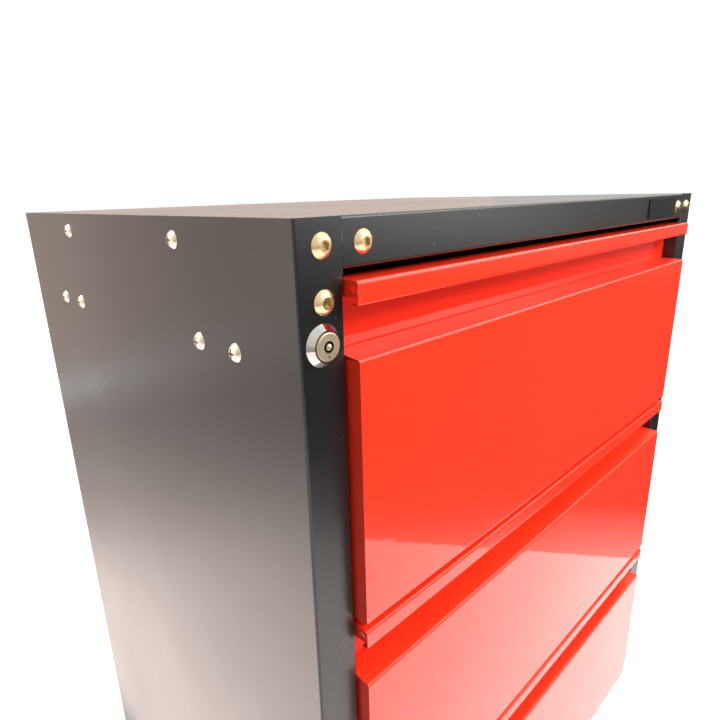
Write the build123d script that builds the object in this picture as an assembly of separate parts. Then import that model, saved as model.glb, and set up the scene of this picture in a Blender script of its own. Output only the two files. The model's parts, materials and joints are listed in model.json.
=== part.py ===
from build123d import *
import os
from math import cos, radians, sin, sqrt

# Carcass, in millimetres
cabinet_width = 620
cabinet_depth = 460
drawer_count = 3
drawer_pitch = 229
drawer_gap = 5.5
rail_height = 28
rail_return = 10
pillar_width = 32
pillar_return = 16
sheet = 1.2
bend = 0.6
seam = 0.3
overrun = 5
hole_play = 0.6

# Corner brackets and the bolts of the front frame
bolt_inner_inset = 14
bolt_top_inset = 14.5
bolt_reach = 30
bolt_drop = 29.5
bolt_thread = 8
bolt_head = 14
bolt_head_height = 2.9
bolt_crown = 7
bolt_socket = 5
bolt_socket_depth = 2
bolt_tip = 2
frame_nut = 13
frame_nut_height = 6.5
bracket_plate = 3
bracket_margin = 9
bracket_corner = 4

# Slotted uprights that carry the slides
upright_front_inset = 85
upright_rear_inset = 111.5
upright_web = 26
upright_flange = 18
upright_end = 60
slot_width = 4
slot_height = 12

# Side screws, through the side panels
cover_screw_inset = 15
cover_screw_places = (128, 329)
upright_screw_inset = 79.5
upright_screw_span = 43
side_screw_thread = 6
side_screw_head = 12
side_screw_head_height = 3.4
side_screw_crown = 4
side_screw_length = 9
cross_length = 6
cross_width = 1.3
cross_depth = 1.8
side_nut = 10
side_nut_height = 5

# Back panel
back_edge = 0.5
back_screw_rows = 4
back_screw_columns = 2
back_screw_thread = 5
back_screw_head = 9.5
back_screw_head_height = 2.6
back_screw_crown = 3
back_screw_length = 7

# Feet
foot_height = 20
foot_inset = 48
foot_diameter = 40
foot_top_diameter = 32
foot_screw_thread = 6
foot_screw_head = 12
foot_screw_head_height = 4
foot_bore_diameter = 14
foot_wall = 6

# Bare badge plate on the top rail
badge_width = 83
badge_height = 20
badge_plate = 1
badge_corner = 2
badge_right_inset = 59

# Drawer fronts, with the pull over the finger recess
drawer_sheet = 1
drawer_bend = 1
front_proud = 10
front_side_gap = 1.2
wall_depth = 13.5
lip_height = 14
lip_hem = 5
lip_tab_height = 9.5
lip_tab_hole = 4.8
lip_tab_hole_inset = 4.4
lip_tab_hole_drop = 5
ledge_back_drop = 42
ledge_front_drop = 44
ledge_flange = 12
pull_wall_drop = 60
front_flange = 15
front_return = 20

# Drawer boxes
slide_space = 13
box_top_drop = 45
box_floor_gap = 6
box_rear_room = 28
box_rim = 8

# Telescopic slides
slide_drop = 125
slide_height = 46
slide_gauge = 1.4
slide_bend = 0.8
slide_web_gap = 0.8
slide_start = 18
slide_rear_room = 42
hook_width = 3.4
hook_height = 5
hook_drop = 6
hook_play = 0.3
ball = 3.2
ball_play = 0.1
ball_count = 3
cage_strip = 1
cage_width = 4
cage_end_room = 8
drawer_screw_thread = 4
drawer_screw_head = 8
drawer_screw_head_height = 2.2
drawer_screw_crown = 3
drawer_screw_length = 5
drawer_screw_count = 3

# Lock, its cam and the bar that it drops in front of the drawer catches
lock_drop = 67
lock_bezel = 24
lock_bezel_front = 17.8
lock_bezel_height = 3.6
lock_barrel = 16
lock_barrel_length = 24
lock_nut_across = 21
lock_nut_height = 3.5
plug_diameter = 12
plug_face = 16
plug_face_plate = 1.5
plug_face_proud = 1
plug_face_edge = 0.7
plug_play = 0.2
plug_length = 26
keyhole_diameter = 6.8
keyhole_post = 3.8
keyhole_post_height = 1
keyhole_post_crown = 1.2
keyhole_depth = 6
key_mark = 1.4
key_mark_drop = 5.4
key_mark_depth = 0.5
drive_square = 7
drive_play = 0.1
cam_plate = 2
cam_hub = 13
cam_reach = 8
cam_arm = 8
cam_pin = 4
cam_turn = 90
bar_depth = 33
bar_plate = 2.5
bar_pillar_gap = 2
bar_width = 16
bar_slot_play = 0.5
bar_top_drop = 45
bar_tail = 25
finger_box_gap = 5
finger_drop = 53
finger_height = 12
finger_plate = 2.5
catch_gap = 3
catch_height = 15
catch_reach = 8.5
catch_foot = 14
catch_plate = 1.5
guide_drop = 91.5
guide_plate = 2
guide_margin = 5
guide_flange = 18
guide_play = 0.5

# Levels and places that follow from the sizes above
carcass_height = 2 * rail_height + drawer_gap + drawer_count * drawer_pitch
top_level = foot_height + carcass_height
middle_level = foot_height + carcass_height / 2
depth_middle = (cabinet_depth + back_screw_head_height - front_proud) / 2
skin_end = cabinet_depth - sheet
front_width = cabinet_width - 2 * (pillar_width + front_side_gap)
box_side = pillar_width + slide_space
box_width = cabinet_width - 2 * box_side
wall_back = wall_depth + drawer_sheet
front_height = drawer_pitch - drawer_gap
slide_length = cabinet_depth - slide_start - slide_rear_room
bolt_side_inset = pillar_width - bolt_inner_inset
lock_side_inset = pillar_width / 2
bar_inner_inset = pillar_width - bar_pillar_gap
finger_reach = box_side - finger_box_gap
upright_places = {"front": upright_front_inset, "rear": cabinet_depth - upright_rear_inset}
BASE = (Align.CENTER, Align.CENTER, Align.MIN)
CORNER = (Align.MIN, Align.MIN, Align.MIN)
FRONT = (0, -1, 0)
REAR = (0, 1, 0)
INWARD = (1, 0, 0)
OUTWARD = (-1, 0, 0)


def left(inset):
    """x of a place measured in from the left side's outer face."""
    return inset - cabinet_width / 2


def back(depth):
    """y of a place measured back from the pillars' front face."""
    return depth - depth_middle


def down(drop):
    """z of a place measured down from the cabinet's top face."""
    return top_level - drop


def lip_drop(drawer):
    """Drop of a drawer's lip below the cabinet's top face."""
    return rail_height + drawer_gap + drawer * drawer_pitch


def block(low, high):
    size = Vector(*high) - Vector(*low)
    return Pos(*low) * Box(*size, align=CORNER)


def rod(start, direction, diameter, length):
    return Plane(start, z_dir=direction) * Cylinder(diameter / 2, length, align=BASE)


def both_sides(shape):
    """The left piece and its mirror image on the right."""
    return Part() + [shape, mirror(shape, about=Plane.YZ)]


def both_ends(shape):
    """The upper piece and its mirror image at the bottom of the carcass."""
    return Part() + [shape, mirror(shape, about=Plane.XY.offset(middle_level))]


def level(z):
    """Plane for an outline in x and y, extruded upwards."""
    return Plane((0, 0, z))


def crosswise(x):
    """Plane for an outline in y and z, extruded to the right."""
    return Plane((x, 0, 0), x_dir=(0, 1, 0), z_dir=(1, 0, 0))


def lengthwise(y):
    """Plane for an outline in x and z, extruded to the front."""
    return Plane((0, y, 0), x_dir=(1, 0, 0), z_dir=FRONT)


def sheet_face(path, gauge, radius):
    """Section of a bent sheet: path is its outer skin, and the sheet lies to the left of it."""
    skin = [Vector(*point) for point in path]
    runs = [(end - start).normalized() for start, end in zip(skin, skin[1:])]
    normals = [Vector(-run.Y, run.X) for run in runs]
    inner = [skin[0] + normals[0] * gauge]
    skin_radii = []
    inner_radii = []
    for place, corner in enumerate(skin[1:-1]):
        spread = normals[place] + normals[place + 1]
        inner.append(corner + spread * (2 * gauge / spread.dot(spread)))
        turns_left = runs[place].cross(runs[place + 1]).Z > 0
        skin_radii.append(radius + gauge if turns_left else radius)
        inner_radii.append(radius if turns_left else radius + gauge)
    inner.append(skin[-1] + normals[-1] * gauge)
    outer_line = FilletPolyline(*skin, radius=skin_radii)
    inner_line = FilletPolyline(*inner, radius=inner_radii)
    ends = [Line(skin[0], inner[0]), Line(skin[-1], inner[-1])]
    return make_face([*outer_line.edges(), *inner_line.edges(), *ends])


def fold(path, gauge, radius, plane, length):
    return extrude(plane * sheet_face(path, gauge, radius), amount=length, dir=plane.z_dir)


def domed_head(diameter, height, crown):
    """Screw head with a spherical crown and a small flat on top."""
    sink = (diameter**2 / 4 - crown**2 / 4 - height**2) / (2 * height)
    ball_radius = sqrt(diameter**2 / 4 + sink**2)
    return Cylinder(diameter / 2, height, align=BASE) & Pos(0, 0, -sink) * Sphere(ball_radius)


def hexagon(across, height):
    return extrude(RegularPolygon(across / 2, 6, major_radius=False), amount=height)


def socket_bolt(shank):
    head = domed_head(bolt_head, bolt_head_height, bolt_crown)
    head -= Pos(0, 0, bolt_head_height - bolt_socket_depth) * hexagon(bolt_socket, bolt_head_height)
    return head + Pos(0, 0, -shank) * Cylinder(bolt_thread / 2, shank, align=BASE)


def cross_screw(thread, head_diameter, head_height, crown, shank):
    head = domed_head(head_diameter, head_height, crown)
    cross = Rectangle(cross_length, cross_width) + Rectangle(cross_width, cross_length)
    head -= Pos(0, 0, head_height - cross_depth) * extrude(cross, amount=cross_depth + overrun)
    return head + Pos(0, 0, -shank) * Cylinder(thread / 2, shank, align=BASE)


def nut(across, height, thread):
    return hexagon(across, height) - Cylinder((thread + hole_play) / 2, height, align=BASE)


# Front frame bolts: one on the pillar, one on the rail and one lower on the pillar, at each corner
corner_bolts = (
    (bolt_side_inset, bolt_top_inset),
    (bolt_side_inset + bolt_reach, bolt_top_inset),
    (bolt_side_inset, bolt_top_inset + bolt_drop),
)


def at_corner_bolts(piece, depth, direction):
    """A piece at the three bolts of the upper left corner."""
    places = [(left(inset), back(depth), down(drop)) for inset, drop in corner_bolts]
    return Part() + [Plane(place, z_dir=direction) * piece for place in places]


def at_all_corners(piece, depth, direction):
    return both_ends(both_sides(at_corner_bolts(piece, depth, direction)))


def side_screw_spots():
    """Depth and drop of each screw in the upper half of a side panel."""
    half = upright_screw_span / 2
    spots = [(depth, cover_screw_inset) for depth in cover_screw_places]
    for centre in upright_places.values():
        spots += [(centre - half, upright_screw_inset), (centre + half, upright_screw_inset)]
    return spots


def at_side_screws(piece, inset, direction):
    """A piece at every side screw, on both sides and at top and bottom."""
    places = [(left(inset), back(depth), down(drop)) for depth, drop in side_screw_spots()]
    return both_ends(both_sides(Part() + [Plane(place, z_dir=direction) * piece for place in places]))


def at_back_screws(piece, depth):
    """A piece at every back screw: a column on each rear flange, a row on each cover's flange."""
    column_x = cabinet_width / 2 - pillar_width / 2
    column_step = (carcass_height - 2 * rail_height) / (back_screw_rows - 1)
    row_step = (cabinet_width - 2 * pillar_width) / (back_screw_columns + 1)
    spots = []
    for row in range(back_screw_rows):
        height = foot_height + rail_height + row * column_step
        spots += [(-column_x, height), (column_x, height)]
    for column in range(back_screw_columns):
        x = left(pillar_width) + (column + 1) * row_step
        spots += [(x, foot_height + rail_height / 2), (x, top_level - rail_height / 2)]
    return Part() + [Plane((x, back(depth), z), z_dir=REAR) * piece for x, z in spots]


def hole(thread, length):
    """Cutter for a clearance hole, standing past both faces of the sheet."""
    return Pos(0, 0, -overrun) * Cylinder((thread + hole_play) / 2, length + 2 * overrun, align=BASE)


frame_holes = at_all_corners(hole(bolt_thread, sheet), 0, REAR)
side_holes = at_side_screws(hole(side_screw_thread, sheet), 0, INWARD)
back_holes = at_back_screws(hole(back_screw_thread, sheet), skin_end)


# Side panels, each folded round into a front pillar and a rear flange
def side_panel():
    rear = back(skin_end)
    skin = [
        (left(pillar_width), rear),
        (left(0), rear),
        (left(0), back(0)),
        (left(pillar_width), back(0)),
    ]
    returned = [*skin, (left(pillar_width), back(pillar_return))]
    rail_zone = rail_height + drawer_gap / 2
    panel = fold(skin, sheet, bend, level(foot_height), rail_zone)
    panel += fold(returned, sheet, bend, level(foot_height + rail_zone), carcass_height - 2 * rail_zone)
    panel += fold(skin, sheet, bend, level(top_level - rail_zone), rail_zone)
    return panel - frame_holes - side_holes - back_holes


def lock_hole():
    start = (left(lock_side_inset), back(-overrun), down(lock_drop))
    return rod(start, REAR, lock_barrel + hole_play, sheet + 2 * overrun)


# Top and bottom covers: a rail in front, a flange behind, and a flange inside each side panel
def cover():
    rear = back(skin_end)
    rail_bottom = down(rail_height)
    rail_start = pillar_width + seam
    rail_path = [
        (rear, rail_bottom),
        (rear, down(0)),
        (back(0), down(0)),
        (back(0), rail_bottom),
        (back(rail_return), rail_bottom),
    ]
    rail_length = cabinet_width - 2 * rail_start
    rail = fold(rail_path, sheet, bend, crosswise(left(rail_start)), rail_length)
    side_path = [
        (-left(sheet), rail_bottom),
        (-left(sheet), down(0)),
        (left(sheet), down(0)),
        (left(sheet), rail_bottom),
    ]
    tray_rear = skin_end - sheet - seam
    tray_length = tray_rear - sheet - seam
    tray = fold(side_path, sheet, bend, lengthwise(back(tray_rear)), tray_length)
    tray_front = back(sheet + bend + seam)
    relief_bottom = down(rail_height + overrun)
    relief_inner = left(2 * sheet + bend)
    front_relief = block((left(0), back(0), relief_bottom), (relief_inner, tray_front, down(-overrun)))
    rear_relief = block(
        (left(0), back(tray_rear - bend), relief_bottom),
        (relief_inner, back(cabinet_depth), down(-overrun)),
    )
    reliefs = both_sides(front_relief + rear_relief)
    return rail + tray - reliefs - frame_holes - side_holes - back_holes


def back_panel():
    low = (left(back_edge), back(skin_end), foot_height + back_edge)
    high = (-left(back_edge), back(cabinet_depth), top_level - back_edge)
    return block(low, high) - back_holes


# Corner brackets: flat angles behind the bolted corners
def corner_bracket():
    long_leg = RectangleRounded(bolt_reach + 2 * bracket_margin, 2 * bracket_margin, bracket_corner)
    drop_leg = RectangleRounded(2 * bracket_margin, bolt_drop + 2 * bracket_margin, bracket_corner)
    corner = Pos(left(bolt_side_inset), down(bolt_top_inset))
    angle = corner * (Pos(bolt_reach / 2, 0) * long_leg + Pos(0, -bolt_drop / 2) * drop_leg)
    plate = extrude(lengthwise(back(sheet + bracket_plate)) * angle, amount=bracket_plate, dir=FRONT)
    return plate - at_corner_bolts(hole(bolt_thread, bracket_plate), sheet, REAR)


# Uprights: hat sections on the side panels, with a slot for each slide hook
def upright(centre):
    half = upright_web / 2
    foot = half + upright_flange
    path = [
        (left(sheet), back(centre + foot)),
        (left(sheet), back(centre + half)),
        (left(pillar_width - sheet), back(centre + half)),
        (left(pillar_width - sheet), back(centre - half)),
        (left(sheet), back(centre - half)),
        (left(sheet), back(centre - foot)),
    ]
    length = carcass_height - 2 * upright_end
    hat = fold(path, sheet, bend, level(foot_height + upright_end), length)
    for drawer in range(drawer_count):
        seat = down(lip_drop(drawer) + slide_drop)
        hat -= block(
            (left(pillar_width - sheet - bend), back(centre - slot_width / 2), seat),
            (left(pillar_width + overrun), back(centre + slot_width / 2), seat + slot_height),
        )
    return hat - side_holes


# Feet, each on a screw sunk in its bore
def at_feet(piece):
    x = cabinet_width / 2 - foot_inset
    front = back(foot_inset)
    rear = back(cabinet_depth - foot_inset)
    return Part() + [Pos(sx * x, y, 0) * piece for sx in (-1, 1) for y in (front, rear)]


def foot():
    body = Cone(foot_diameter / 2, foot_top_diameter / 2, foot_height, align=BASE)
    body -= Cylinder(foot_bore_diameter / 2, foot_height - foot_wall, align=BASE)
    return body - hole(foot_screw_thread, foot_height)


def foot_screw():
    seat = foot_height - foot_wall
    shank = foot_wall + sheet + side_nut_height + bolt_tip
    screw = cross_screw(foot_screw_thread, foot_screw_head, foot_screw_head_height, side_screw_crown, shank)
    return Pos(0, 0, seat) * Rot(180, 0, 0) * screw


def foot_nut():
    return Pos(0, 0, foot_height + sheet) * nut(side_nut, side_nut_height, foot_screw_thread)


def badge():
    centre = Pos(-left(badge_right_inset + badge_width / 2), down(rail_height / 2))
    outline = centre * RectangleRounded(badge_width, badge_height, badge_corner)
    return extrude(lengthwise(back(0)) * outline, amount=badge_plate, dir=FRONT)


# Pull: the lip over the finger recess and the recess's back wall, folded from one sheet
def pull(drawer):
    lip = lip_drop(drawer)
    lip_bottom = down(lip + lip_height)
    end = front_width / 2
    path = [
        (back(wall_back), down(lip + pull_wall_drop)),
        (back(wall_back), down(lip)),
        (back(-front_proud), down(lip)),
        (back(-front_proud), lip_bottom),
        (back(lip_hem - front_proud), lip_bottom),
    ]
    piece = fold(path, drawer_sheet, drawer_bend, crosswise(-end), front_width)
    tab = block(
        (-end, back(drawer_sheet - front_proud), down(lip + lip_tab_height)),
        (drawer_sheet - end, back(wall_depth), down(lip + drawer_sheet)),
    )
    hole_place = (back(lip_tab_hole_inset - front_proud), down(lip + lip_tab_hole_drop))
    tab -= rod((-end - overrun, *hole_place), INWARD, lip_tab_hole, drawer_sheet + 2 * overrun)
    return piece + both_sides(tab)


# Front panel: ledge, face, bottom and side returns, folded from one sheet
def front_panel(drawer):
    lip = lip_drop(drawer)
    bottom = down(lip + front_height)
    end = front_width / 2
    path = [
        (back(wall_depth), down(lip + ledge_back_drop + ledge_flange)),
        (back(wall_depth), down(lip + ledge_back_drop)),
        (back(-front_proud), down(lip + ledge_front_drop)),
        (back(-front_proud), bottom),
        (back(wall_back), bottom),
        (back(wall_back), bottom + front_flange),
    ]
    panel = fold(path, drawer_sheet, drawer_bend, crosswise(-end), front_width)
    side_return = block(
        (-end, back(drawer_sheet - front_proud), bottom + drawer_sheet),
        (drawer_sheet - end, back(front_return - front_proud), down(lip + ledge_front_drop + drawer_sheet)),
    )
    return panel + both_sides(side_return)


# Drawer box: a floor, two folded sides that stand on it and two end walls, welded together
def drawer_box(drawer):
    lip = lip_drop(drawer)
    half = box_width / 2
    top = down(lip + box_top_drop)
    floor = down(lip + front_height - box_floor_gap)
    seat = floor + drawer_sheet
    rear = cabinet_depth - box_rear_room
    plate = block((-half, back(wall_back), floor), (half, back(rear), seat))
    side_path = [
        (box_rim - half, top),
        (-half, top),
        (-half, seat),
        (box_rim - half, seat),
    ]
    side_rear = rear - drawer_sheet
    side_length = side_rear - drawer_sheet - wall_back
    sides = both_sides(fold(side_path, drawer_sheet, drawer_bend, lengthwise(back(side_rear)), side_length))
    sides -= at_drawer_screws(hole(drawer_screw_thread, drawer_sheet), drawer, box_side)
    walls = []
    for wall_rear in (wall_back + drawer_sheet, rear):
        low = (-half, back(wall_rear - drawer_sheet), seat)
        walls.append(block(low, (half, back(wall_rear), top)))
    return Compound([plate, *sides.solids(), *walls])


def at_drawer_screws(piece, drawer, inset):
    """A piece at each screw that holds a slide's drawer member to the box."""
    step = slide_length / drawer_screw_count
    z = down(lip_drop(drawer) + slide_drop)
    ys = [back(slide_start + (place + 1 / 2) * step) for place in range(drawer_screw_count)]
    return both_sides(Part() + [Plane((left(inset), y, z), z_dir=INWARD) * piece for y in ys])


def drawer_screws(drawer):
    screw = domed_head(drawer_screw_head, drawer_screw_head_height, drawer_screw_crown)
    screw += Pos(0, 0, -drawer_screw_length) * Cylinder(
        drawer_screw_thread / 2, drawer_screw_length, align=BASE
    )
    return at_drawer_screws(screw, drawer, box_side + drawer_sheet)


def catch(drawer):
    top = down(lip_drop(drawer) + finger_drop + finger_height + catch_gap)
    front = bar_depth + bar_plate + finger_plate + catch_gap
    path = [
        (left(box_side), back(front + catch_foot)),
        (left(box_side), back(front)),
        (left(box_side - catch_reach), back(front)),
    ]
    return fold(path[::-1], catch_plate, drawer_bend, level(top - catch_height), catch_height)


# Telescopic slides: three nested channels, with balls between their flanges
member_depth = slide_space - 2 * (slide_gauge + slide_web_gap)
race = ball + 2 * ball_play
middle_height = slide_height - 2 * (slide_gauge + race)
inner_height = middle_height - 2 * (slide_gauge + race)


def channel(drawer, height, web_inset, open_inset):
    """A slide member on the left: its web's outer face at one inset, its flanges' ends at the other."""
    centre = down(lip_drop(drawer) + slide_drop)
    path = [
        (left(open_inset), centre + height / 2),
        (left(web_inset), centre + height / 2),
        (left(web_inset), centre - height / 2),
        (left(open_inset), centre - height / 2),
    ]
    if open_inset < web_inset:
        path.reverse()
    return fold(path, slide_gauge, slide_bend, lengthwise(back(slide_start + slide_length)), slide_length)


def cabinet_members(drawer):
    member = channel(drawer, slide_height, pillar_width, pillar_width + member_depth)
    seat = down(lip_drop(drawer) + slide_drop)
    hook_back = pillar_width - sheet - hook_play
    for centre in upright_places.values():
        y = back(centre - hook_width / 2)
        end = back(centre + hook_width / 2)
        tip = left(hook_back - slide_gauge)
        member += block((tip, y, seat), (left(pillar_width), end, seat + hook_height))
        member += block((tip, y, seat - hook_drop), (left(hook_back), end, seat + hook_height))
    return both_sides(member)


def middle_members(drawer):
    web = pillar_width + slide_gauge + slide_web_gap
    return both_sides(channel(drawer, middle_height, web, web + member_depth))


def drawer_members(drawer):
    member = channel(drawer, inner_height, box_side, box_side - member_depth)
    return both_sides(member) - at_drawer_screws(hole(drawer_screw_thread, slide_gauge), drawer, box_side)


def cages(drawer, height, race_inset):
    """The upper and lower ball strips of one stage of both slides."""
    length = slide_length / 2 - 2 * cage_end_room
    centre = down(lip_drop(drawer) + slide_drop)
    middle = back(slide_start + slide_length / 2)
    strip = Box(cage_width, length, cage_strip)
    step = length / ball_count
    for place in range(ball_count):
        strip += Pos(0, (place + 1 / 2) * step - length / 2, 0) * Sphere(ball / 2)
    x = left(race_inset)
    rows = [Pos(x, middle, centre + side * (height + race) / 2) * strip for side in (-1, 1)]
    return both_sides(Part() + rows)


def outer_cages(drawer):
    return cages(drawer, middle_height, pillar_width + slide_space / 2 - slide_gauge)


def inner_cages(drawer):
    return cages(drawer, inner_height, pillar_width + slide_space / 2 + slide_gauge)


# Lock in the left pillar: its plug turns a pin that drops the lock bar
def on_lock(piece, depth):
    """A piece whose z runs back along the lock's axis from a depth behind the pillar's face."""
    place = (left(lock_side_inset), back(depth), down(lock_drop))
    return Plane(place, x_dir=INWARD, z_dir=REAR) * piece


def lock_housing():
    bezel = Pos(0, 0, -lock_bezel_height) * Cone(
        lock_bezel_front / 2, lock_bezel / 2, lock_bezel_height, align=BASE
    )
    body = bezel + Cylinder(lock_barrel / 2, lock_barrel_length, align=BASE)
    bore_radius = plug_diameter / 2 + plug_play
    body -= Pos(0, 0, -overrun) * Cylinder(bore_radius, lock_barrel_length + 2 * overrun, align=BASE)
    seat = Pos(0, 0, -lock_bezel_height - overrun)
    body -= seat * Cylinder(plug_face / 2 + plug_play, plug_face_plate + plug_play + overrun, align=BASE)
    return on_lock(body, 0)


def lock_nut():
    flats_to_the_sides = Rot(0, 0, 30)
    return on_lock(flats_to_the_sides * nut(lock_nut_across, lock_nut_height, lock_barrel), sheet)


def lock_plug():
    """Plug with a rounded face, a ring-shaped keyhole round a post, a key mark and a square for the cam."""
    length = plug_length + lock_bezel_height
    face = Cylinder(plug_face / 2, plug_face_plate + plug_face_proud, align=BASE)
    face = fillet(face.edges().group_by(Axis.Z)[0], plug_face_edge)
    keyhole = Circle(keyhole_diameter / 2) - Circle(keyhole_post / 2)
    front = Pos(0, 0, -plug_face_proud)
    body = front * face + Cylinder(plug_diameter / 2, length, align=BASE)
    body -= front * extrude(keyhole, amount=keyhole_depth)
    body -= front * Pos(0, key_mark_drop) * Cylinder(key_mark / 2, key_mark_depth, align=BASE)
    body += front * Rot(180, 0, 0) * domed_head(keyhole_post, keyhole_post_height, keyhole_post_crown)
    drive = Pos(0, 0, length) * Box(drive_square, drive_square, cam_plate, align=BASE)
    return on_lock(body + drive, -lock_bezel_height)


def pin_place():
    """The cam pin's place across and up from the lock's axis, with the lock open."""
    turn = radians(cam_turn / 2)
    return cam_reach * cos(turn), cam_reach * sin(turn)


def lock_cam():
    across, up = pin_place()
    arm = Pos(across, -up) * Circle(cam_arm / 2) + Circle(cam_hub / 2)
    arm += Rot(0, 0, -cam_turn / 2) * Pos(cam_reach / 2, 0) * Rectangle(cam_reach, cam_arm)
    arm -= Rectangle(drive_square + drive_play, drive_square + drive_play)
    pin_length = bar_depth + bar_plate - plug_length + cam_plate / 2
    pin = Pos(across, -up) * Cylinder(cam_pin / 2, pin_length, align=BASE)
    cam = extrude(arm, amount=cam_plate) + pin
    return on_lock(cam, plug_length)


def lock_bar():
    """Flat bar with a slot for the cam's pin, and a finger welded behind it for each drawer."""
    across, up = pin_place()
    inner = left(bar_inner_inset)
    outer = left(bar_inner_inset - bar_width)
    front = back(bar_depth)
    rear = back(bar_depth + bar_plate)
    end = down(lip_drop(drawer_count - 1) + guide_drop + bar_tail)
    bar = block((outer, front, end), (inner, rear, down(bar_top_drop)))
    fingers = []
    for drawer in range(drawer_count):
        top = down(lip_drop(drawer) + finger_drop)
        finger_end = (left(finger_reach), rear + finger_plate, top)
        fingers.append(block((outer, rear, top - finger_height), finger_end))
    half = cam_pin / 2 + bar_slot_play
    pin_level = down(lock_drop) + up
    bar -= block(
        (left(lock_side_inset + across - half), front - overrun, pin_level - half),
        (left(lock_side_inset + cam_reach + half), rear + overrun, pin_level + half),
    )
    return Compound([bar, *fingers])


def lock_bar_guides():
    outer = left(bar_inner_inset - bar_width)
    inner = left(bar_inner_inset)
    front = back(bar_depth)
    rear = back(bar_depth + bar_plate)
    guides = []
    for drawer in (0, drawer_count - 1):
        top = down(lip_drop(drawer) + guide_drop)
        path = [
            (left(sheet), top - guide_flange),
            (left(sheet), top),
            (inner + guide_play + guide_plate, top),
        ]
        plate_rear = rear + guide_margin
        plate_depth = plate_rear - front + guide_margin
        guide = fold(path[::-1], guide_plate, bend, lengthwise(plate_rear), plate_depth)
        guide -= block(
            (outer - guide_play, front - guide_play, top - guide_flange - overrun),
            (inner + guide_play, rear + guide_play, top + overrun),
        )
        guides.append(guide)
    return Part() + guides


def save(name, shape):
    export_step(shape, f"parts/{name}.step")


def mirrored(shape):
    return mirror(shape, about=Plane.YZ)


def lowered(shape):
    return mirror(shape, about=Plane.XY.offset(middle_level))


def save_carcass():
    panel = side_panel()
    save("side_panel_left", panel - lock_hole())
    save("side_panel_right", mirrored(panel))
    save("top_panel", cover())
    foot_hole = Pos(0, 0, foot_height) * hole(foot_screw_thread, sheet)
    save("bottom_panel", lowered(cover()) - at_feet(foot_hole))
    save("back_panel", back_panel())
    bracket = corner_bracket()
    save("corner_bracket_upper_left", bracket)
    save("corner_bracket_upper_right", mirrored(bracket))
    save("corner_bracket_lower_left", lowered(bracket))
    save("corner_bracket_lower_right", mirrored(lowered(bracket)))
    for place, centre in upright_places.items():
        piece = upright(centre)
        save(f"upright_{place}_left", piece)
        save(f"upright_{place}_right", mirrored(piece))
    save("feet", at_feet(foot()))
    save("badge_plate", badge())


def save_fasteners():
    frame_shank = sheet + bracket_plate + frame_nut_height + bolt_tip
    save("frame_bolts", at_all_corners(socket_bolt(frame_shank), 0, FRONT))
    frame_nuts = nut(frame_nut, frame_nut_height, bolt_thread)
    save("frame_nuts", at_all_corners(frame_nuts, sheet + bracket_plate, REAR))
    side_screw = cross_screw(
        side_screw_thread, side_screw_head, side_screw_head_height, side_screw_crown, side_screw_length
    )
    save("side_screws", at_side_screws(side_screw, 0, OUTWARD))
    save("side_nuts", at_side_screws(nut(side_nut, side_nut_height, side_screw_thread), 2 * sheet, INWARD))
    back_screw = cross_screw(
        back_screw_thread, back_screw_head, back_screw_head_height, back_screw_crown, back_screw_length
    )
    save("back_screws", at_back_screws(back_screw, cabinet_depth))
    save("foot_screws", at_feet(foot_screw()))
    save("foot_nuts", at_feet(foot_nut()))


def save_lock():
    save("lock_housing", lock_housing())
    save("lock_nut", lock_nut())
    save("lock_plug", lock_plug())
    save("lock_cam", lock_cam())
    save("lock_bar", lock_bar())
    save("lock_bar_guides", lock_bar_guides())


def save_drawers():
    for drawer in range(drawer_count):
        number = drawer + 1
        save(f"drawer_{number}_pull", pull(drawer))
        save(f"drawer_{number}_front", front_panel(drawer))
        save(f"drawer_{number}_box", drawer_box(drawer))
        save(f"drawer_{number}_screws", drawer_screws(drawer))
        save(f"drawer_{number}_catch", catch(drawer))
        save(f"slide_{number}_cabinet_members", cabinet_members(drawer))
        save(f"slide_{number}_middle_members", middle_members(drawer))
        save(f"slide_{number}_drawer_members", drawer_members(drawer))
        save(f"slide_{number}_outer_cages", outer_cages(drawer))
        save(f"slide_{number}_inner_cages", inner_cages(drawer))


os.makedirs("parts", exist_ok=True)
save_carcass()
save_fasteners()
save_lock()
save_drawers()
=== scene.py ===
import json

import bpy
from mathutils import Matrix, Vector


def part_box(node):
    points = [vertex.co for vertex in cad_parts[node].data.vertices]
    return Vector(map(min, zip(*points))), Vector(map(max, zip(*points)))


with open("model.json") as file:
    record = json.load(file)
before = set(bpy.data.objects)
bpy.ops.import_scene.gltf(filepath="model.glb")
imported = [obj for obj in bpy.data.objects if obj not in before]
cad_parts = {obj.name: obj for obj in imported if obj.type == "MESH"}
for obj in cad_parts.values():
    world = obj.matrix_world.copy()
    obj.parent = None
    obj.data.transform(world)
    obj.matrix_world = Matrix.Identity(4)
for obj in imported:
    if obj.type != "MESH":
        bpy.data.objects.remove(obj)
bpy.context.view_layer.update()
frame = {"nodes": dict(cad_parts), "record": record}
scene = bpy.context.scene
scene.view_settings.view_transform = "Standard"


# Camera at the photograph's angle, placed from the left side panel's top front corner
LENS_MM = 27.3646
SENSOR_MM = 36
EYE_FROM_CORNER = (-0.166825, -0.217068, 0.010959)
VIEW_RIGHT = (0.71331, -0.70036, -0.02613)
VIEW_UP = (0.22256, 0.19102, 0.95602)
VIEW_AHEAD = (0.66457, 0.68776, -0.29213)


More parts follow.
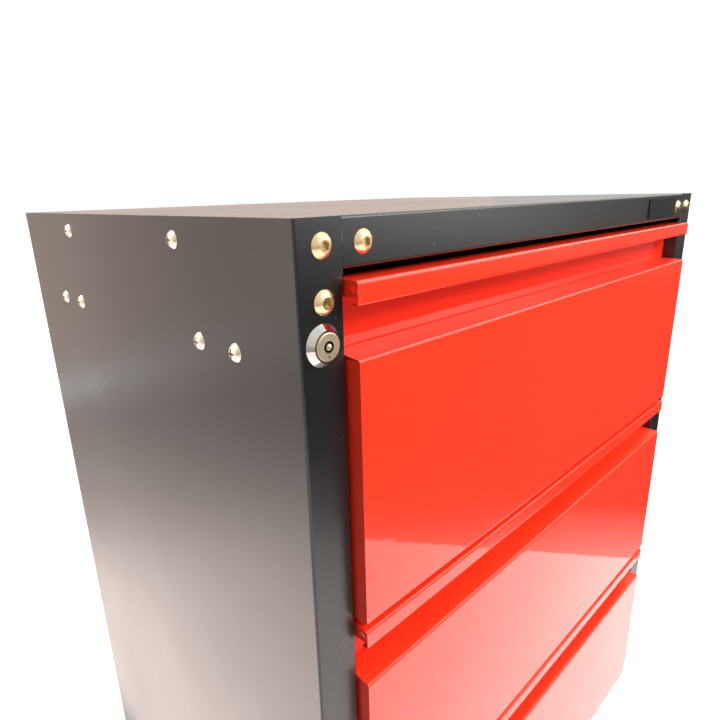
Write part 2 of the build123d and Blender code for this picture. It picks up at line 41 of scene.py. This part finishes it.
def add_camera():
    low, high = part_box("side_panel_left")
    corner = Vector((low[0], low[1], high[2]))
    eye = corner + Vector(EYE_FROM_CORNER)
    data = bpy.data.cameras.new("photo_camera")
    data.lens = LENS_MM
    data.sensor_width = SENSOR_MM
    camera = bpy.data.objects.new("photo_camera", data)
    axes = (Vector(VIEW_RIGHT), Vector(VIEW_UP), -Vector(VIEW_AHEAD))
    turn = Matrix([[axis[row] for axis in axes] for row in range(3)])
    camera.matrix_world = Matrix.Translation(eye) @ turn.to_4x4()
    scene.collection.objects.link(camera)
    scene.camera = camera


# Sockets of the Mix node when it mixes colours
MIX_SHARE, MIX_FIRST, MIX_SECOND, MIX_RESULT = 0, 6, 7, 2

# Where a speck's rim starts to fade, as a share of its radius, and how sharply cells are chosen
SPECK_CORE = 0.6
SPECK_CHOICE_STEP = 0.01

# Likeness of the rounded and the flat normal, on a flat face and on an edge
EDGE_SAMPLES = 4
FLAT_LIKENESS = 0.985
EDGE_LIKENESS = 0.80

# Openness of a point, on an open face and in a recess
HOLLOW_SAMPLES = 8
OPEN_FACE = 0.85
DEEP_RECESS = 0.25


class Graph:
    """A node tree filled node by node; an input is a constant or another node's socket."""

    def __init__(self, owner):
        owner.use_nodes = True
        self.tree = owner.node_tree
        self.tree.nodes.clear()

    def add(self, kind, inputs=None, **settings):
        node = self.tree.nodes.new(kind)
        for name, value in settings.items():
            setattr(node, name, value)
        for key, value in (inputs or {}).items():
            socket = node.inputs[key]
            if isinstance(value, bpy.types.NodeSocket):
                self.tree.links.new(value, socket)
            else:
                socket.default_value = value
        return node

    def math(self, operation, first, second):
        return self.add("ShaderNodeMath", {0: first, 1: second}, operation=operation).outputs[0]

    def place(self):
        """Object coordinates, in metres, which stay with a piece as it moves."""
        return self.add("ShaderNodeTexCoord").outputs["Object"]

    def stretched(self, vector, scale):
        return self.add("ShaderNodeMapping", {"Vector": vector, "Scale": scale}).outputs[0]

    def run(self, heading):
        """How far along a level heading a point lies."""
        inputs = {0: self.place(), 1: (*heading, 0.0)}
        node = self.add("ShaderNodeVectorMath", inputs, operation="DOT_PRODUCT")
        return node.outputs["Value"]

    def noise(self, vector, scale, detail=2.0, roughness=0.5):
        inputs = {"Vector": vector, "Scale": scale, "Detail": detail, "Roughness": roughness}
        return self.add("ShaderNodeTexNoise", inputs).outputs[0]

    def spread(self, value, low, high, start=0.0, end=1.0):
        """A value carried from one range to another, held at the ends."""
        inputs = {
            "Value": value, "From Min": low, "From Max": high, "To Min": start, "To Max": end}
        return self.add("ShaderNodeMapRange", inputs, clamp=True).outputs[0]

    def mix(self, share, first, second):
        inputs = {MIX_SHARE: share, MIX_FIRST: first, MIX_SECOND: second}
        return self.add("ShaderNodeMix", inputs, data_type="RGBA").outputs[MIX_RESULT]

    def stain_and_shade(self, base, mask, share, colour):
        """The base with a share of another colour laid over it where the mask is 1: used for
        stains, dust and wear, and for painted shade in recesses.
        """
        return self.mix(self.math("MULTIPLY", mask, share), base, colour)

    def specks(self, vector, scale, radius, keep):
        """Round spots in a few of the cells of a pattern: 1 in a spot, 0 elsewhere."""
        cells = self.add("ShaderNodeTexVoronoi", {"Vector": vector, "Scale": scale})
        near = self.spread(cells.outputs["Distance"], radius, radius * SPECK_CORE)
        level = self.add("ShaderNodeSeparateColor", {0: cells.outputs["Color"]}).outputs[0]
        chosen = self.spread(level, 1 - keep, 1 - keep + SPECK_CHOICE_STEP)
        return self.math("MULTIPLY", near, chosen)

    def edges(self, radius):
        """How near a sharp edge is: 0 on a flat face."""
        rounded = self.add("ShaderNodeBevel", {"Radius": radius}, samples=EDGE_SAMPLES).outputs[0]
        flat = self.add("ShaderNodeNewGeometry").outputs["Normal"]
        alike = self.add("ShaderNodeVectorMath", {0: rounded, 1: flat}, operation="DOT_PRODUCT")
        return self.spread(alike.outputs["Value"], FLAT_LIKENESS, EDGE_LIKENESS)

    def recess_shade(self, distance):
        """How deep in a recess a point lies, the mask for painted shade: 0 on an open face."""
        shade = self.add(
            "ShaderNodeAmbientOcclusion", {"Distance": distance},
            samples=HOLLOW_SAMPLES, only_local=True)
        return self.spread(shade.outputs["AO"], OPEN_FACE, DEEP_RECESS)

    def bump(self, height, strength, distance, normal=None):
        inputs = {"Height": height, "Strength": strength, "Distance": distance}
        if normal:
            inputs["Normal"] = normal
        return self.add("ShaderNodeBump", inputs).outputs[0]

    def principled(self, inputs):
        return self.add("ShaderNodeBsdfPrincipled", inputs).outputs[0]

    def finish(self, shader):
        self.add("ShaderNodeOutputMaterial", {"Surface": shader})


def rgb(colour, factor=1.0):
    return (*[channel * factor for channel in colour], 1.0)


def tinted(colour, tint):
    return [channel * share for channel, share in zip(colour, tint)]


# Where most of a noise's values lie
NOISE_RANGE = (0.3, 0.7)

# Colours laid over a finish
DUST = (0.42, 0.40, 0.37, 1.0)
PLATE_DUST = (0.35, 0.33, 0.31, 1.0)
RUBBED_BLACK = (0.34, 0.32, 0.30, 1.0)
RED_NIB = (0.55, 0.05, 0.03, 1.0)
RUBBED_RED = (0.50, 0.21, 0.16, 1.0)
# Painted shade, laid darker in the recesses of the metal parts
BOLT_PAINTED_SHADE = (0.06, 0.042, 0.022, 1.0)
SCREW_PAINTED_SHADE = (0.05, 0.045, 0.04, 1.0)
LOCK_PAINTED_SHADE = (0.03, 0.026, 0.02, 1.0)

# Tints of a finish's own colour
PINKISH_ZINC = (1.04, 0.97, 1.15)
GREENISH_ZINC = (1.00, 1.06, 1.28)
CREAM_ZINC = (1.04, 0.94, 0.72)
WORN_BRASS = (0.86, 0.74, 0.58)


# Paints
def black_powder_coat(graph, colour):
    """Satin black powder coat: fine grain, dust specks, paler worn edges."""
    place = graph.place()
    cloud = graph.noise(place, scale=6.0, detail=3.0)
    grain = graph.noise(place, scale=1500.0, detail=2.0, roughness=0.6)
    peel = graph.noise(place, scale=420.0, detail=1.0)
    flattened = graph.stretched(place, (1.0, 1.0, 2.5))
    scuffs = graph.noise(flattened, scale=34.0, detail=5.0, roughness=0.62)
    base = graph.mix(cloud, rgb(colour, 0.70), rgb(colour, 1.05))
    dust = graph.specks(place, scale=190.0, radius=0.10, keep=0.05)
    base = graph.stain_and_shade(base, dust, share=0.45, colour=DUST)
    rubbed = graph.spread(scuffs, low=0.50, high=0.66)
    worn = graph.math("MULTIPLY", graph.edges(radius=0.0011), rubbed)
    base = graph.stain_and_shade(base, worn, share=0.55, colour=RUBBED_BLACK)
    clean_gloss = graph.spread(cloud, *NOISE_RANGE, start=0.26, end=0.31)
    scuffed = graph.spread(scuffs, low=0.55, high=0.8, start=0.0, end=0.025)
    normal = graph.bump(peel, strength=0.08, distance=0.0004)
    normal = graph.bump(grain, strength=0.12, distance=0.00012, normal=normal)
    gloss = graph.math("ADD", clean_gloss, scuffed)
    return graph.principled({
        "Base Color": base, "Roughness": gloss, "IOR": 1.62, "Normal": normal})


def red_powder_coat(graph, colour):
    """Glossy red powder coat: a wet-looking clear layer with orange peel over a smooth colour."""
    place = graph.place()
    cloud = graph.noise(place, scale=5.0, detail=3.0)
    peel = graph.noise(place, scale=300.0, detail=1.5, roughness=0.45)
    waves = graph.noise(place, scale=90.0, detail=1.0)
    scuffs = graph.noise(place, scale=45.0, detail=4.0, roughness=0.6)
    base = graph.mix(cloud, rgb(colour, 0.95), rgb(colour, 1.05))
    nibs = graph.specks(place, scale=70.0, radius=0.030, keep=0.10)
    base = graph.stain_and_shade(base, nibs, share=0.35, colour=RED_NIB)
    rubbed = graph.spread(scuffs, low=0.56, high=0.68)
    worn = graph.math("MULTIPLY", graph.edges(radius=0.0007), rubbed)
    base = graph.stain_and_shade(base, worn, share=0.45, colour=RUBBED_RED)
    gloss = graph.spread(cloud, *NOISE_RANGE, start=0.30, end=0.36)
    normal = graph.bump(waves, strength=0.05, distance=0.0008)
    normal = graph.bump(peel, strength=0.05, distance=0.0003, normal=normal)
    normal = graph.bump(nibs, strength=0.20, distance=0.0002, normal=normal)
    return graph.principled({
        "Base Color": base, "Roughness": gloss, "Specular IOR Level": 0.05, "Normal": normal,
        "Coat Weight": 1.0, "Coat Roughness": 0.035, "Coat IOR": 1.55, "Coat Normal": normal})


# Metals
def metal(graph, base, roughness, normal):
    return graph.principled({
        "Base Color": base, "Metallic": 1.0, "Roughness": roughness, "Normal": normal})


def yellow_zinc(graph, colour):
    """Yellow passivated zinc: gold with faint pink and green clouds, with painted shade in the
    sockets.
    """
    place = graph.place()
    cloud = graph.noise(place, scale=210.0, detail=3.0)
    tint = graph.add("ShaderNodeValToRGB", {"Fac": cloud})
    first, last = tint.color_ramp.elements
    first.position = 0.30
    first.color = rgb(tinted(colour, PINKISH_ZINC))
    last.position = 0.72
    last.color = rgb(tinted(colour, GREENISH_ZINC))
    tint.color_ramp.elements.new(0.52).color = rgb(colour)
    # Painted shade: the hex sockets darkened where shade falls in them
    sockets = graph.recess_shade(distance=0.004)
    base = graph.stain_and_shade(tint.outputs[0], sockets, share=0.4, colour=BOLT_PAINTED_SHADE)
    pits = graph.noise(place, scale=2600.0, detail=2.0)
    gloss = graph.spread(cloud, *NOISE_RANGE, start=0.22, end=0.32)
    return metal(graph, base, gloss, graph.bump(pits, strength=0.10, distance=0.00006))


def bright_zinc(graph, colour):
    """Bright zinc plating with cream clouds, with painted shade in the crosses."""
    place = graph.place()
    cloud = graph.noise(place, scale=260.0, detail=3.0)
    base = graph.mix(cloud, rgb(tinted(colour, CREAM_ZINC)), rgb(colour, 1.10))
    # Painted shade: the cross recesses darkened where shade falls in them
    base = graph.stain_and_shade(base, graph.recess_shade(distance=0.003), share=0.3, colour=SCREW_PAINTED_SHADE)
    pits = graph.noise(place, scale=2400.0, detail=2.0)
    gloss = graph.spread(cloud, low=0.35, high=0.7, start=0.28, end=0.40)
    return metal(graph, base, gloss, graph.bump(pits, strength=0.12, distance=0.00006))


def zinc_sheet(graph, colour):
    """Galvanised sheet with a spangle of flat crystals."""
    place = graph.place()
    cells = graph.add("ShaderNodeTexVoronoi", {"Vector": place, "Scale": 130.0})
    crystal = graph.add("ShaderNodeSeparateColor", {0: cells.outputs["Color"]}).outputs[0]
    base = graph.mix(crystal, rgb(colour, 0.78), rgb(colour, 1.16))
    fine = graph.noise(place, scale=1300.0, detail=3.0)
    gloss = graph.spread(crystal, 0.0, 1.0, start=0.30, end=0.46)
    return metal(graph, base, gloss, graph.bump(fine, strength=0.10, distance=0.0001))


def slide_steel(graph, colour):
    """Rolled steel strip, drawn along the cabinet's depth."""
    place = graph.place()
    strands = graph.stretched(place, (1400.0, 14.0, 1400.0))
    drawn = graph.noise(strands, scale=1.0, detail=3.0, roughness=0.6)
    cloud = graph.noise(place, scale=28.0, detail=3.0)
    base = graph.mix(drawn, rgb(colour, 0.80), rgb(colour, 1.12))
    dull = graph.spread(cloud, low=0.55, high=0.8, start=0.0, end=0.35)
    base = graph.mix(dull, base, rgb(colour, 0.62))
    gloss = graph.spread(drawn, low=0.2, high=0.8, start=0.24, end=0.40)
    return metal(graph, base, gloss, graph.bump(drawn, strength=0.12, distance=0.0001))


def ball_steel(graph, colour):
    """Polished balls in a greased strip."""
    place = graph.place()
    cloud = graph.noise(place, scale=300.0, detail=3.0)
    base = graph.mix(cloud, rgb(colour, 0.80), rgb(colour, 1.10))
    gloss = graph.spread(cloud, *NOISE_RANGE, start=0.10, end=0.24)
    return metal(graph, base, gloss, graph.bump(cloud, strength=0.05, distance=0.0001))


def lock_chrome(graph, colour):
    """Chromed die-cast bezel with hairline scratches."""
    place = graph.place()
    strands = graph.stretched(place, (2600.0, 2600.0, 240.0))
    hair = graph.noise(strands, scale=1.0, detail=3.0, roughness=0.6)
    cloud = graph.noise(place, scale=160.0, detail=2.0)
    base = graph.mix(cloud, rgb(colour, 0.70), rgb(colour, 0.80))
    gloss = graph.spread(hair, low=0.45, high=0.8, start=0.05, end=0.15)
    return metal(graph, base, gloss, graph.bump(hair, strength=0.04, distance=0.00004))


def lock_satin(graph, colour):
    """Turned plug: rings round its axis, with painted shade in the keyhole."""
    low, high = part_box("lock_plug")
    middle = [(low[axis] + high[axis]) / 2 for axis in range(3)]
    place = graph.add("ShaderNodeMapping", {
        "Vector": graph.place(), "Location": (-middle[0], 0.0, -middle[2])}).outputs[0]
    rings = graph.add("ShaderNodeTexWave", {
        "Vector": place, "Scale": 900.0, "Distortion": 1.2, "Detail": 2.0},
        wave_type="RINGS", rings_direction="Y").outputs["Fac"]
    cloud = graph.noise(place, scale=320.0, detail=3.0)
    worn = tinted(colour, WORN_BRASS)
    base = graph.mix(cloud, rgb(worn, 0.72), rgb(worn, 1.02))
    # Painted shade: the keyhole darkened almost to black where shade falls in it
    base = graph.stain_and_shade(base, graph.recess_shade(distance=0.003), share=0.9, colour=LOCK_PAINTED_SHADE)
    gloss = graph.spread(rings, 0.0, 1.0, start=0.40, end=0.52)
    return metal(graph, base, gloss, graph.bump(rings, strength=0.10, distance=0.00005))


# Plastic and rubber
def badge_black(graph, colour):
    """Bare black plastic plate with a fine moulded grain."""
    place = graph.place()
    grain = graph.noise(place, scale=1900.0, detail=3.0, roughness=0.6)
    cloud = graph.noise(place, scale=60.0, detail=3.0)
    base = graph.mix(cloud, rgb(colour, 0.8), rgb(colour, 1.3))
    dust = graph.specks(place, scale=420.0, radius=0.12, keep=0.06)
    base = graph.stain_and_shade(base, dust, share=0.4, colour=PLATE_DUST)
    gloss = graph.spread(cloud, *NOISE_RANGE, start=0.10, end=0.16)
    normal = graph.bump(grain, strength=0.14, distance=0.0001)
    return graph.principled({
        "Base Color": base, "Roughness": gloss, "IOR": 1.45, "Normal": normal})


def foot_rubber(graph, colour):
    """Dull moulded rubber, greyed by dust."""
    place = graph.place()
    cloud = graph.noise(place, scale=70.0, detail=5.0, roughness=0.6)
    grain = graph.noise(place, scale=1500.0, detail=2.0)
    dusty = graph.spread(cloud, low=0.42, high=0.75)
    base = graph.mix(dusty, rgb(colour), rgb(colour, 2.6))
    gloss = graph.spread(cloud, *NOISE_RANGE, start=0.66, end=0.84)
    normal = graph.bump(grain, strength=0.3, distance=0.0002)
    return graph.principled({
        "Base Color": base, "Roughness": gloss, "IOR": 1.5, "Normal": normal})


FINISHES = {
    "black_powder_coat": black_powder_coat,
    "red_powder_coat": red_powder_coat,
    "yellow_zinc": yellow_zinc,
    "bright_zinc": bright_zinc,
    "zinc_sheet": zinc_sheet,
    "slide_steel": slide_steel,
    "ball_steel": ball_steel,
    "lock_chrome": lock_chrome,
    "lock_satin": lock_satin,
    "badge_black": badge_black,
    "foot_rubber": foot_rubber,
}


def dress_nodes():
    """Gives every CAD node its slot's finish."""
    finished = {}
    for row in frame["record"]["materials"]:
        name = row["slot"]
        material = bpy.data.materials.new(name)
        graph = Graph(material)
        graph.finish(FINISHES[name](graph, row["base_color"]))
        finished[name] = material
    for row in frame["record"]["subparts"]:
        mesh = frame["nodes"][row["node"]].data
        mesh.materials.clear()
        mesh.materials.append(finished[row["material_slot"]])


# Studio: white surroundings, a pale floor, soft lamps and cards that only reflections show
WHITE = (1.0, 1.0, 1.0, 1.0)
FLOOR_SIZE = 60.0
FLOOR_COLOUR = (0.66, 0.655, 0.65, 1.0)
FLOOR_GLOW = 0.40
FLOOR_GLOW_FAR = 1.1
SHADOW_ROOM = 2.6
SKY_LEVEL = 0.24


def seen_directly(graph):
    """1 for rays from the camera, from gloss and through glass, 0 for light falling on things."""
    path = graph.add("ShaderNodeLightPath").outputs
    camera_or_gloss = graph.math("MAXIMUM", path["Is Camera Ray"], path["Is Glossy Ray"])
    return graph.math("MAXIMUM", camera_or_gloss, path["Is Transmission Ray"])


def add_world():
    world = bpy.data.worlds.new("white_room")
    scene.world = world
    graph = Graph(world)
    strength = graph.spread(seen_directly(graph), 0.0, 1.0, start=SKY_LEVEL, end=1.0)
    sky = graph.add("ShaderNodeBackground", {"Color": WHITE, "Strength": strength})
    graph.add("ShaderNodeOutputWorld", {"Surface": sky.outputs[0]})


def add_plane(name, corners):
    mesh = bpy.data.meshes.new(name)
    mesh.from_pydata([tuple(corner) for corner in corners], [], [range(len(corners))])
    plane = bpy.data.objects.new(name, mesh)
    scene.collection.objects.link(plane)
    return plane


def add_floor():
    half = FLOOR_SIZE / 2
    corners = [(-half, -half, 0), (half, -half, 0), (half, half, 0), (-half, half, 0)]
    floor = add_plane("floor", corners)
    material = bpy.data.materials.new("pale_floor")
    graph = Graph(material)
    length = graph.add("ShaderNodeVectorMath", {0: graph.place()}, operation="LENGTH")
    away = length.outputs["Value"]
    glow = graph.spread(away, SHADOW_ROOM / 2, SHADOW_ROOM, FLOOR_GLOW, FLOOR_GLOW_FAR)
    glow = graph.math("MULTIPLY", glow, seen_directly(graph))
    light = graph.add("ShaderNodeEmission", {"Color": WHITE, "Strength": glow})
    matt = graph.add("ShaderNodeBsdfDiffuse", {"Color": FLOOR_COLOUR})
    both = graph.add("ShaderNodeAddShader", {0: light.outputs[0], 1: matt.outputs[0]})
    graph.finish(both.outputs[0])
    floor.data.materials.append(material)


def add_softbox(name, place, target, width, height, watts, colour):
    data = bpy.data.lights.new(name, "AREA")
    data.shape = "RECTANGLE"
    data.size = width
    data.size_y = height
    data.energy = watts
    data.color = colour
    lamp = bpy.data.objects.new(name, data)
    lamp.location = place
    lamp.rotation_euler = (Vector(target) - Vector(place)).to_track_quat("-Z", "Y").to_euler()
    lamp.visible_camera = False
    scene.collection.objects.link(lamp)


def level_ramp(graph, run, levels, tint):
    """A colour that goes through (distance, brightness) pairs."""
    first = levels[0][0]
    last = levels[-1][0]
    ramp = graph.add("ShaderNodeValToRGB", {"Fac": graph.spread(run, first, last)})
    stops = ramp.color_ramp.elements
    stops.remove(stops[1])
    for number, (distance, brightness) in enumerate(levels):
        share = (distance - first) / (last - first)
        stop = stops[0] if number == 0 else stops.new(share)
        stop.position = share
        stop.color = rgb(tint, brightness)
    return ramp.outputs[0]


def add_card(name, corners, colour_of):
    """A card that only reflections show."""
    card = add_plane(name, corners)
    card.visible_camera = False
    card.visible_diffuse = False
    card.visible_shadow = False
    card.visible_transmission = False
    material = bpy.data.materials.new(name)
    graph = Graph(material)
    light = graph.add("ShaderNodeEmission", {"Color": colour_of(graph), "Strength": 1.0})
    graph.finish(light.outputs[0])
    card.data.materials.append(material)


def add_standing_card(name, ends, levels, tint, far_levels=None, fade=None):
    """Levels run up from its foot; along the fade, far_levels take over from them."""
    start, end = Vector(ends[0]), Vector(ends[1])
    heading = (end - start).normalized()

    def colour_of(graph):
        height = graph.add("ShaderNodeSeparateXYZ", {0: graph.place()}).outputs["Z"]
        colour = level_ramp(graph, height, levels, tint)
        if far_levels:
            first = start.dot(heading)
            share = graph.spread(graph.run(heading), first + fade[0], first + fade[1])
            colour = graph.mix(share, colour, level_ramp(graph, height, far_levels, tint))
        return colour

    bottom, top = levels[0][0], levels[-1][0]
    corners = [(*start, bottom), (*end, bottom), (*end, top), (*start, top)]
    add_card(name, corners, colour_of)


# Softboxes
KEY = {
    "place": (1.25, -1.9, 2.0), "target": (0.0, 0.0, 0.42),
    "width": 1.0, "height": 1.0, "watts": 98.0, "colour": (1.0, 0.98, 0.95)}
EDGE_LIGHT = {
    "place": (2.0, -0.6, 2.5), "target": (0.0, -0.2, 0.7),
    "width": 1.3, "height": 2.0, "watts": 105.0, "colour": (1.0, 0.97, 0.92)}
FLOOR_LIGHT = {
    "place": (-1.2, 0.9, 2.2), "target": (-0.75, 0.5, 0.0),
    "width": 0.9, "height": 0.9, "watts": 48.0, "colour": (1.0, 0.97, 0.95)}

# The front's two cards stand in one line, at distances from a foot.
# Their levels are (height, brightness).
FRONT_FOOT = (0.315, -0.798)
FRONT_HEADING = (0.594, 0.804)
FRONT_START = -3.0
FRONT_JOINT = -0.09
FRONT_END = 2.0
FRONT_TINT = (1.0, 0.97, 0.94)
FRONT_FADE = (0.26, 0.53)
FRONT_LEFT_LEVELS = [
    (0.0, 0.45), (0.07, 0.10), (0.12, 0.04), (0.62, 0.05), (0.72, 0.25), (0.80, 1.6), (3.0, 1.1)]
FRONT_NEAR_LEVELS = [
    (0.0, 0.45), (0.07, 0.10), (0.12, 0.04), (0.6, 0.05), (0.66, 0.30), (0.71, 1.9),
    (1.2, 1.3), (3.0, 1.1)]
FRONT_FAR_LEVELS = [
    (0.0, 0.6), (0.08, 0.30), (0.13, 0.05), (0.6, 0.06), (0.68, 0.16), (0.80, 0.18),
    (0.90, 1.1), (3.0, 1.1)]

# Cards for the side and the top: their ends on the floor and their levels
WARM = (1.0, 0.81, 0.72)
BACK_ENDS = ((-2.0, 2.2), (4.0, 2.2))
BACK_LEVELS = [(0.0, 1.08), (3.0, 1.08)]
BACK_FAR_LEVELS = [(0.0, 1.25), (3.0, 1.25)]
BACK_FADE = (1.5, 2.5)
LEFT_ENDS = ((-2.0, -0.5), (-2.0, 2.2))
LEFT_LEVELS = [(0.0, 1.9), (3.0, 1.9)]
CAMERA_SIDE_ENDS = ((-2.0, -0.5), (-0.7, -2.2))
CAMERA_SIDE_LEVELS = [(0.0, 0.45), (0.6, 0.55), (0.9, 0.85), (2.5, 1.0)]
CAMERA_SIDE_TINT = (1.0, 0.95, 0.88)

# Card just over the floor, for the side's lower part; its levels run along the heading
FLOOR_CARD_LIFT = 0.003
FLOOR_CARD_CORNERS = [(-0.34, -0.1), (-0.34, 1.9), (-1.9, 1.9), (-1.9, -0.1)]
FLOOR_CARD_HEADING = (-0.55, 0.83)
FLOOR_CARD_LEVELS = [
    (0.0, 3.4), (0.72, 2.9), (1.0, 1.75), (1.12, 1.4), (1.65, 0.85), (2.4, 0.9)]
FLOOR_CARD_TINT = (1.0, 0.85, 0.79)

# Bright card over the right of the cabinet, for the highlights along the folds
OVERHEAD_COLOUR = (24.0, 22.4, 19.6, 1.0)
OVERHEAD_CORNERS = [(1.2, -2.1, 3.2), (1.2, -0.4, 3.2), (3.6, 0.1, 1.6), (3.6, -1.2, 1.6)]


def on_front_line(distance):
    return [foot + heading * distance for foot, heading in zip(FRONT_FOOT, FRONT_HEADING)]


def floor_card_colour(graph):
    run = graph.run(FLOOR_CARD_HEADING)
    return level_ramp(graph, run, FLOOR_CARD_LEVELS, FLOOR_CARD_TINT)


def add_cards():
    left_ends = (on_front_line(FRONT_START), on_front_line(FRONT_JOINT))
    right_ends = (on_front_line(FRONT_JOINT), on_front_line(FRONT_END))
    add_standing_card("front_left_card", left_ends, FRONT_LEFT_LEVELS, FRONT_TINT)
    add_standing_card(
        "front_card", right_ends, FRONT_NEAR_LEVELS, FRONT_TINT, FRONT_FAR_LEVELS, FRONT_FADE)
    add_standing_card("back_card", BACK_ENDS, BACK_LEVELS, WARM, BACK_FAR_LEVELS, BACK_FADE)
    add_standing_card("left_card", LEFT_ENDS, LEFT_LEVELS, WARM)
    add_standing_card("camera_side_card", CAMERA_SIDE_ENDS, CAMERA_SIDE_LEVELS, CAMERA_SIDE_TINT)
    floor_corners = [(x, y, FLOOR_CARD_LIFT) for x, y in FLOOR_CARD_CORNERS]
    add_card("floor_card", floor_corners, floor_card_colour)
    add_card("overhead_card", OVERHEAD_CORNERS, lambda graph: OVERHEAD_COLOUR)


def add_studio():
    add_world()
    add_floor()
    add_softbox("key", **KEY)
    add_softbox("edge_light", **EDGE_LIGHT)
    add_softbox("floor_light", **FLOOR_LIGHT)
    add_cards()


add_camera()
dress_nodes()
add_studio()
